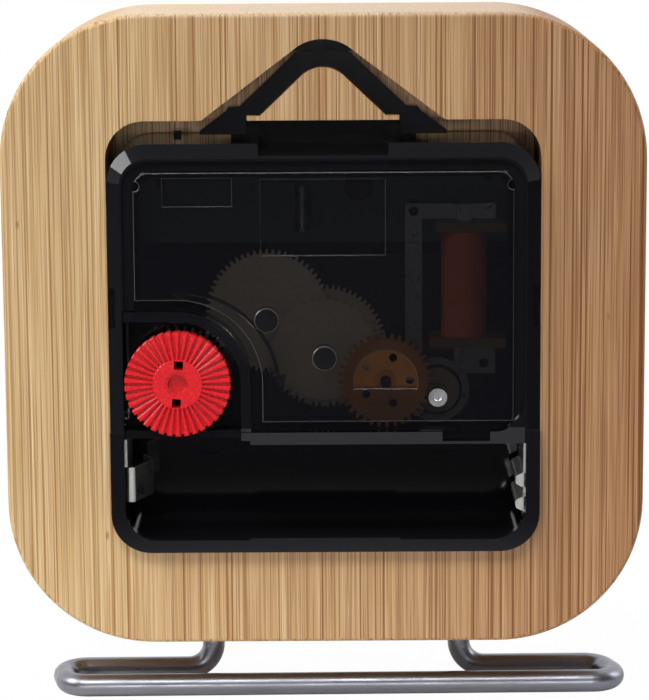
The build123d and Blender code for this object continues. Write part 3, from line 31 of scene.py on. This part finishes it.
# The photograph's camera, given from the middle of the block's back face
camera_distance = 384.26 * MM
camera_elevation = radians(9.785)
camera_side = -1.42 * MM
target_drop = 2.24 * MM
camera_roll = radians(-0.377)
focal_pixels = 2957.1
picture_width = 649
sensor_width = 36.0
clip_start, clip_end = 0.01, 20.0

# The movement's levels, in Y, and places that its shaders tell apart, all in millimetres
rim_levels = (14.395, 14.455)
groove_floor_levels = (14.46, 14.49)
groove_side_levels = (14.49, 14.7)
button_start_level = 14.735
button_side_levels = (14.735, 14.865)
bar_x, bar_z = (-26.0, 25.0), (34.5, 38.2)
knob_band_x, knob_band_z = (9.4, 40.0), (38.2, 54.2)
window_middle, window_radius, window_low_z = (-7.93, 44.3), 4.2, 43.5
pivot_middle, pivot_radius = (-7.95, 44.05), 0.7

# Changes per millimetre of the noise in the plastic's finish, and the span that noise mostly fills
fine_scale = (2.5, 2.5, 2.5)
plastic_wave_scale = (0.35, 0.35, 0.35)
moulding_wave_scale = (0.3, 0.3, 0.3)
noise_span = (0.3, 0.7)

# The studio. A light is its name, place, size and watts, and all of them point at the clock's middle.
clock_middle = (0, 0, 0.05)
lights = (
    ("key", (0.50, 0.16, 0.42), (0.34, 0.34), 2.4),
    ("over_camera", (0.12, 0.50, 0.62), (0.5, 0.25), 3.1),
    ("low_fill", (0.10, 0.95, 0.085), (0.8, 0.07), 1.9),
    ("side", (-0.55, -0.10, 0.30), (0.25, 0.35), 0.7),
)
# The world's light beyond the clock's front and on the camera's side, and how far Y of a direction goes
# from the middle until it is one of the two
front_strength, camera_side_strength = 0.8, 0.10
world_turn = 0.35
# The floor's colour is a painted pool of light: bright within this reach of the clock, and dark from twice
# that reach on
floor_half = 3.0
light_pool_reach = 0.067
light_pool_bright, light_pool_dark = 0.82, 0.05
# How far the floor shows white to the eye under the clock, and where that share grows to all of it
shadow_share = 0.975
shadow_reach, shadow_end = 0.04, 0.075
# Where on Y the floor shows white in a mirror, and where it no longer does
mirrored_floor_y, plain_floor_y = -0.12, -0.03


def add_camera():
    low, high = (Vector(corner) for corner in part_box("bamboo_block"))
    middle = (low + high) / 2
    middle.y = high.y
    height = camera_distance * sin(camera_elevation)
    place = middle + Vector((camera_side, camera_distance * cos(camera_elevation), height))
    target = middle + Vector((0, 0, -target_drop))
    forward = (target - place).normalized()
    right = forward.cross(Vector((0, 0, 1))).normalized()
    up = right.cross(forward)
    turned_right = right * cos(camera_roll) + up * sin(camera_roll)
    turned_up = up * cos(camera_roll) - right * sin(camera_roll)
    data = bpy.data.cameras.new("camera")
    data.sensor_fit = "HORIZONTAL"
    data.sensor_width = sensor_width
    data.lens = focal_pixels / picture_width * sensor_width
    data.clip_start = clip_start
    data.clip_end = clip_end
    camera = bpy.data.objects.new("camera", data)
    columns = (turned_right, turned_up, -forward)
    rotation = Matrix([[column[row] for column in columns] for row in range(3)]).to_4x4()
    camera.matrix_world = Matrix.Translation(place) @ rotation
    bpy.context.scene.collection.objects.link(camera)
    bpy.context.scene.camera = camera


def linear(red, green, blue):
    """A colour written as it shows on a screen, from 0 to 255, in linear light."""
    result = []
    for value in (red, green, blue):
        share = value / 255
        result.append(share / 12.92 if share <= 0.04045 else ((share + 0.055) / 1.055) ** 2.4)
    return tuple(result)


def scaled(color, factor, lift=0.0):
    return tuple(min(1.0, value * factor + lift) for value in color)


def with_alpha(color):
    return color if hasattr(color, "is_output") else (*color, 1)


class Graph:
    """The node tree of a material or a world, filled by short calls."""

    def __init__(self, owner):
        owner.use_nodes = True
        self.tree = owner.node_tree
        self.tree.nodes.clear()

    def feed(self, socket, value):
        """Links a node's output to the socket, or sets a plain value on it."""
        if hasattr(value, "is_output"):
            self.tree.links.new(value, socket)
        else:
            socket.default_value = value

    def node(self, kind, inputs=None, **settings):
        made = self.tree.nodes.new("ShaderNode" + kind)
        for name, value in settings.items():
            setattr(made, name, value)
        for name, value in (inputs or {}).items():
            self.feed(made.inputs[name], value)
        return made

    def math(self, operation, first, second=0.0):
        return self.node("Math", {0: first, 1: second}, operation=operation).outputs[0]

    def both(self, first, second):
        return self.math("MULTIPLY", first, second)

    def greatest(self, first, *others):
        for other in others:
            first = self.math("MAXIMUM", first, other)
        return first

    def between(self, value, limits):
        """One between two values, zero outside them."""
        low, high = limits
        return self.both(self.math("GREATER_THAN", value, low), self.math("LESS_THAN", value, high))

    def range(self, value, low, high, to_low=0.0, to_high=1.0, kind="LINEAR"):
        return self.node("MapRange", {
            "Value": value, "From Min": low, "From Max": high, "To Min": to_low, "To Max": to_high,
        }, interpolation_type=kind).outputs["Result"]

    def smooth(self, value, low, high, to_low, to_high):
        return self.range(value, low, high, to_low, to_high, "SMOOTHSTEP")

    def mix(self, factor, first, second, blend="MIX"):
        return self.node("Mix", {
            0: factor, 6: with_alpha(first), 7: with_alpha(second),
        }, data_type="RGBA", blend_type=blend).outputs[2]


class Shader(Graph):
    """A material with one principled surface, laid out in the object's own coordinates."""

    def __init__(self, name):
        self.material = bpy.data.materials.new(name)
        super().__init__(self.material)
        self.surface = self.node("BsdfPrincipled")
        self.node("OutputMaterial", {"Surface": self.surface.outputs[0]})
        self.place = self.node("TexCoord").outputs["Object"]

    def set(self, **values):
        for name, value in values.items():
            self.feed(self.surface.inputs[name.replace("_", " ")], value)

    def bump(self, height, strength, distance_mm):
        made = self.node("Bump", {"Height": height, "Strength": strength, "Distance": distance_mm * MM})
        self.set(Normal=made.outputs["Normal"])

    def millimetres(self, scale=(1, 1, 1)):
        """The place in millimetres, times a scale for each axis."""
        factors = tuple(value / MM for value in scale)
        return self.node("Mapping", {"Vector": self.place, "Scale": factors}).outputs["Vector"]

    def axes(self):
        return self.node("SeparateXYZ", {"Vector": self.millimetres()}).outputs

    def noise(self, scale, detail, roughness):
        return self.node("TexNoise", {
            "Vector": self.millimetres(scale), "Scale": 1.0, "Detail": detail, "Roughness": roughness,
        }).outputs["Fac"]

    def spread(self, noise, to_low=0.0, to_high=1.0):
        """Stretches the span that noise mostly fills over the one that is wanted."""
        return self.range(noise, *noise_span, to_low, to_high)

    def spots(self, scale, edges, dimensions="3D"):
        """Round spots in the middle of cells, and a random value of each cell's own."""
        made = self.node("TexVoronoi", {
            "Vector": self.millimetres(scale), "Scale": 1.0, "Randomness": 1.0,
        }, voronoi_dimensions=dimensions)
        own = self.node("SeparateColor", {"Color": made.outputs["Color"]}).outputs[0]
        return self.range(made.outputs["Distance"], *edges), own

    def lines(self, scale, edges, own_span, strengths, dimensions="3D"):
        """Spots drawn out into lines by the scale, each with a strength of its own."""
        spots, own = self.spots(scale, edges, dimensions)
        return self.both(spots, self.range(own, *own_span, *strengths))

    def ramp(self, value, stops):
        made = self.node("ValToRGB", {"Fac": value})
        elements = made.color_ramp.elements
        while len(elements) < len(stops):
            elements.new(0.5)
        for element, (position, color) in zip(elements, stops):
            element.position = position
            element.color = (*color, 1)
        return made.outputs["Color"]

    def disc(self, x, z, middle, radius):
        """One inside a round spot seen along Y, zero outside it."""
        off_x = self.math("SUBTRACT", x, middle[0])
        off_z = self.math("SUBTRACT", z, middle[1])
        squares = self.math("ADD", self.both(off_x, off_x), self.both(off_z, off_z))
        return self.math("LESS_THAN", self.math("SQRT", squares), radius)


def bamboo():
    """Upright fibre bundles in pale wood, warmer and darker to one side."""
    # Changes per millimetre, across the grain and along it
    fibre_scale = (5.2, 5.2, 0.04)
    patch_scale = (0.30, 0.30, 0.008)
    long_line_scale = (1.75, 1.75, 0.0)
    fine_line_scale = (3.1, 3.1, 0.014)
    speck_scale = (0.30, 0.30, 0.12)
    # Places in millimetres
    light_side_x, dark_side_x = 34.0, -40.0
    top_start_z, top_end_z = 91.2, 91.95
    # How strongly each thing shows
    patch_span, patch_share = (0.60, 0.40), 0.35
    light_side_lines, dark_side_lines = 0.9, 1.1
    speck_rarity, speck_share = 0.6, 0.6
    top_grain_and_highlight_share = 0.3
    dull, shiny = 0.55, 0.42
    fibre_tones = (
        (0.32, linear(196, 154, 100)),
        (0.46, linear(216, 182, 130)),
        (0.56, linear(225, 193, 143)),
        (0.68, linear(240, 215, 172)),
    )
    patch_tone = linear(206, 166, 114)
    line_tone = linear(150, 96, 34)
    speck_tone = linear(140, 92, 34)
    dark_side_tint = linear(206, 180, 168)
    # The top's cream tone: the end grain's own paler colour together with a painted highlight from the light
    # above
    top_grain_and_highlight_tone = linear(250, 238, 218)

    s = Shader("bamboo")
    x, _, z = s.axes()
    to_dark_side = s.range(x, light_side_x, dark_side_x)
    fibres = s.noise(fibre_scale, detail=3.0, roughness=0.6)
    patches = s.noise(patch_scale, detail=2.0, roughness=0.5)
    patched = s.range(patches, *patch_span, to_high=patch_share)
    base = s.mix(patched, s.ramp(fibres, fibre_tones), patch_tone)

    lines = s.greatest(
        s.lines(
            long_line_scale, edges=(0.24, 0.17), own_span=(0.1, 0.7), strengths=(0.25, 0.95), dimensions="2D",
        ),
        s.lines(fine_line_scale, edges=(0.42, 0.27), own_span=(0.1, 0.9), strengths=(0.15, 0.85)),
        s.lines(fibre_scale, edges=(0.48, 0.34), own_span=(0.1, 0.9), strengths=(0.1, 0.65)),
    )
    lines = s.both(lines, s.range(to_dark_side, 0.0, 1.0, light_side_lines, dark_side_lines))
    specks, speck_own = s.spots(speck_scale, edges=(0.09, 0.04))
    specks = s.both(specks, s.math("GREATER_THAN", speck_own, speck_rarity))
    marked = s.mix(s.both(specks, speck_share), s.mix(lines, base, line_tone), speck_tone)
    shaded = s.mix(to_dark_side, marked, s.mix(1.0, marked, dark_side_tint, "MULTIPLY"))
    # The top is painted paler, partly the end grain's own tone and partly a painted highlight for strong
    # light from above
    top_grain_and_highlight = s.range(z, top_start_z, top_end_z, to_high=top_grain_and_highlight_share)
    s.set(
        Base_Color=s.mix(top_grain_and_highlight, shaded, top_grain_and_highlight_tone),
        Roughness=s.spread(fibres, dull, shiny),
        Specular_IOR_Level=0.5,
    )
    s.bump(s.math("SUBTRACT", fibres, lines), strength=0.3, distance_mm=0.05)
    return s.material


def plastic(name, color, roughness, gloss=0.5, grain=0.03):
    """Moulded plastic with a faint unevenness."""
    s = Shader(name)
    fine = s.noise(fine_scale, detail=3.0, roughness=0.6)
    s.set(
        Base_Color=s.mix(s.spread(fine), color, scaled(color, 1.25, lift=0.001)),
        Roughness=s.spread(fine, roughness * 0.85, roughness * 1.15),
        Specular_IOR_Level=gloss,
    )
    s.bump(s.noise(plastic_wave_scale, detail=2.0, roughness=0.5), strength=0.3, distance_mm=grain)
    return s.material


def moulding(name, tint, alphas=None):
    """The movement's glossy black plastic. Its bar over the bay is matt, and its cover is see-through."""
    glossy, matt = 0.07, 0.6
    bar_tones = linear(20, 20, 25), linear(28, 28, 34)
    # The pale side tone is a painted highlight on the walls of the arrow groove and of the buttons
    side_highlight_tone = linear(112, 108, 106)
    side_highlight_share, dense_alpha = 0.5, 0.9

    s = Shader(name)
    x, y, z = s.axes()
    at_bar = s.both(s.between(z, bar_z), s.between(x, bar_x))
    at_band = s.both(s.between(z, knob_band_z), s.between(x, knob_band_x))
    on_rim = s.both(s.between(y, rim_levels), s.greatest(at_bar, at_band))
    on_bar = s.both(on_rim, at_bar)
    fine = s.spread(s.noise(fine_scale, detail=3.0, roughness=0.6))
    tone = s.mix(on_bar, s.mix(fine, tint, scaled(tint, 1.3)), s.mix(fine, *bar_tones))
    if alphas:
        plain_alpha, window_alpha = alphas
        in_window = s.both(
            s.disc(x, z, window_middle, window_radius), s.math("GREATER_THAN", z, window_low_z)
        )
        # Painted highlight: the sides of the engraved arrow groove and of the raised buttons are mixed toward
        # a pale tone
        highlighted_sides = s.greatest(s.between(y, groove_side_levels), s.between(y, button_side_levels))
        tone = s.mix(s.both(highlighted_sides, side_highlight_share), tone, side_highlight_tone)
        # The groove floor is made denser so that it shows darker: painted shade in the engraved arrow
        dense = s.greatest(
            s.disc(x, z, pivot_middle, pivot_radius), on_rim, s.math("GREATER_THAN", y, button_start_level),
            highlighted_sides, s.between(y, groove_floor_levels),
        )
        clear = s.range(in_window, 0.0, 1.0, plain_alpha, window_alpha)
        s.set(Alpha=s.greatest(clear, s.both(dense, dense_alpha)))
    s.set(Base_Color=tone, Roughness=s.range(on_bar, 0.0, 1.0, glossy, matt), Specular_IOR_Level=0.4)
    s.bump(s.noise(moulding_wave_scale, detail=2.0, roughness=0.5), strength=0.2, distance_mm=0.02)
    return s.material


def metal(name, color, roughness, stretch=(0.6, 0.6, 0.6)):
    """Drawn or plated metal, with faint marks that run one way."""
    s = Shader(name)
    marks = s.noise(stretch, detail=4.0, roughness=0.65)
    s.set(
        Base_Color=s.mix(s.spread(marks), color, scaled(color, 0.8)),
        Roughness=s.spread(marks, roughness * 0.8, roughness * 1.25),
        Metallic=1.0,
    )
    s.bump(marks, strength=0.3, distance_mm=0.01)
    return s.material


def dress_nodes():
    """Each CAD node gets its finish."""
    milky = plastic("gear_white", linear(222, 206, 182), 0.4)
    steel = metal("plain_steel", linear(165, 165, 165), 0.3)
    contact = metal("contact_steel", linear(232, 230, 226), 0.3, stretch=(1.5, 0.3, 0.3))
    brass = metal("brass", linear(205, 172, 105), 0.22, stretch=(1.2, 0.2, 1.2))
    matt_black = plastic("plate_black", linear(26, 25, 25), 0.5)
    lacquer = plastic("hand_black", linear(18, 18, 18), 0.25)
    finishes = {
        "bamboo_block": bamboo(),
        "wire_stand": metal("wire_steel", linear(148, 149, 158), 0.32, stretch=(0.15, 2.5, 2.5)),
        "movement_case": moulding("case_black", linear(17, 17, 21)),
        "case_cover": moulding("cover_smoke", linear(17, 17, 22), alphas=(0.58, 0.42)),
        "hanger": plastic("hanger_black", linear(13, 13, 16), 0.08, gloss=0.35, grain=0.015),
        "setting_knob": plastic("knob_red", linear(214, 20, 32), 0.25, grain=0.01),
        "setting_wheel": milky, "cannon_pinion": milky, "minute_wheel": milky, "hour_wheel": milky,
        "centre_wheel": milky, "third_wheel": milky, "seconds_wheel": milky,
        "fifth_wheel": plastic("gear_amber", linear(198, 128, 58), 0.35),
        "rotor": plastic("magnet_grey", linear(176, 152, 124), 0.4),
        "rotor_bearing": metal("bearing_steel", linear(225, 225, 228), 0.22),
        "train_bridge": matt_black,
        "stator": steel, "coil_core": steel,
        "coil_bobbin": plastic("bobbin_olive", linear(120, 100, 50), 0.45),
        "coil_winding": plastic("copper", linear(226, 112, 66), 0.4),
        "circuit_board": plastic("board_green", linear(40, 82, 52), 0.35),
        "timing_chip": matt_black,
        "crystal_can": steel,
        "negative_contact": contact, "positive_contact": contact,
        "threaded_bushing": brass, "brass_washer": brass, "mounting_nut": brass,
        "rubber_washer": plastic("rubber", linear(28, 28, 28), 0.7),
        "hour_hand": lacquer, "minute_hand": lacquer, "second_hand": lacquer,
        "hour_marks": plastic("mark_brown", linear(58, 44, 34), 0.55),
    }
    for name, material in finishes.items():
        for slot in nodes[name].material_slots:
            slot.material = material


def shown_share(g, direct_share, beyond):
    """How far a ray meets the white background: the eye's own, and a mirrored one beyond the clock."""
    rays = g.node("LightPath").outputs
    mirrored = g.both(g.greatest(rays["Is Glossy Ray"], rays["Is Transmission Ray"]), beyond)
    return g.greatest(g.both(rays["Is Camera Ray"], direct_share), mirrored)


def add_world():
    """White to the eye. As a light it is bright beyond the clock's front and dim on the camera's side."""
    world = bpy.data.worlds.new("studio")
    bpy.context.scene.world = world
    g = Graph(world)
    direction = g.node("TexCoord").outputs["Generated"]
    toward_camera = g.node("SeparateXYZ", {0: direction}).outputs["Y"]
    strength = g.smooth(toward_camera, -world_turn, world_turn, front_strength, camera_side_strength)
    white = (1, 1, 1, 1)
    lighting = g.node("Background", {"Color": white, "Strength": strength})
    shown = g.node("Background", {"Color": white, "Strength": 1.0})
    beyond = g.smooth(toward_camera, -world_turn, 0.0, 1.0, 0.0)
    choice = g.node("MixShader", {
        0: shown_share(g, 1.0, beyond), 1: lighting.outputs[0], 2: shown.outputs[0],
    })
    g.node("OutputWorld", {"Surface": choice.outputs[0]})


def floor_white():
    """Matt, dark further out, and white to the eye but for the clock's faint shadow."""
    material = bpy.data.materials.new("floor_white")
    g = Graph(material)
    place = g.node("TexCoord").outputs["Object"]
    reach = g.node("VectorMath", {0: place}, operation="LENGTH").outputs["Value"]
    # The matt colour falls off away from the clock: a painted pool of light, seen in mirrors and in bounced
    # light
    tone = g.smooth(reach, light_pool_reach, 2 * light_pool_reach, light_pool_bright, light_pool_dark)
    matt = g.node("BsdfDiffuse", {"Color": tone})
    glow = g.node("Emission")
    share = g.smooth(reach, shadow_reach, shadow_end, shadow_share, 1.0)
    toward_camera = g.node("SeparateXYZ", {0: place}).outputs["Y"]
    beyond = g.smooth(toward_camera, mirrored_floor_y, plain_floor_y, 1.0, 0.0)
    choice = g.node("MixShader", {
        0: shown_share(g, share, beyond), 1: matt.outputs[0], 2: glow.outputs[0],
    })
    g.node("OutputMaterial", {"Surface": choice.outputs[0]})
    return material


def add_floor():
    """The white table top under the clock."""
    mesh = bpy.data.meshes.new("floor")
    corners = [(x, y, 0) for x, y in ((-1, -1), (1, -1), (1, 1), (-1, 1))]
    mesh.from_pydata([Vector(corner) * floor_half for corner in corners], [], [(0, 1, 2, 3)])
    mesh.materials.append(floor_white())
    floor = bpy.data.objects.new("floor", mesh)
    bpy.context.scene.collection.objects.link(floor)


def add_light(name, place, size, watts):
    data = bpy.data.lights.new(name, "AREA")
    data.shape = "RECTANGLE"
    data.size, data.size_y = size
    data.energy = watts
    light = bpy.data.objects.new(name, data)
    light.location = place
    light.rotation_euler = (Vector(clock_middle) - Vector(place)).to_track_quat("-Z", "Y").to_euler()
    bpy.context.scene.collection.objects.link(light)


bpy.context.scene.view_settings.view_transform = "Standard"
add_camera()
dress_nodes()
add_world()
add_floor()
for light_row in lights:
    add_light(*light_row)
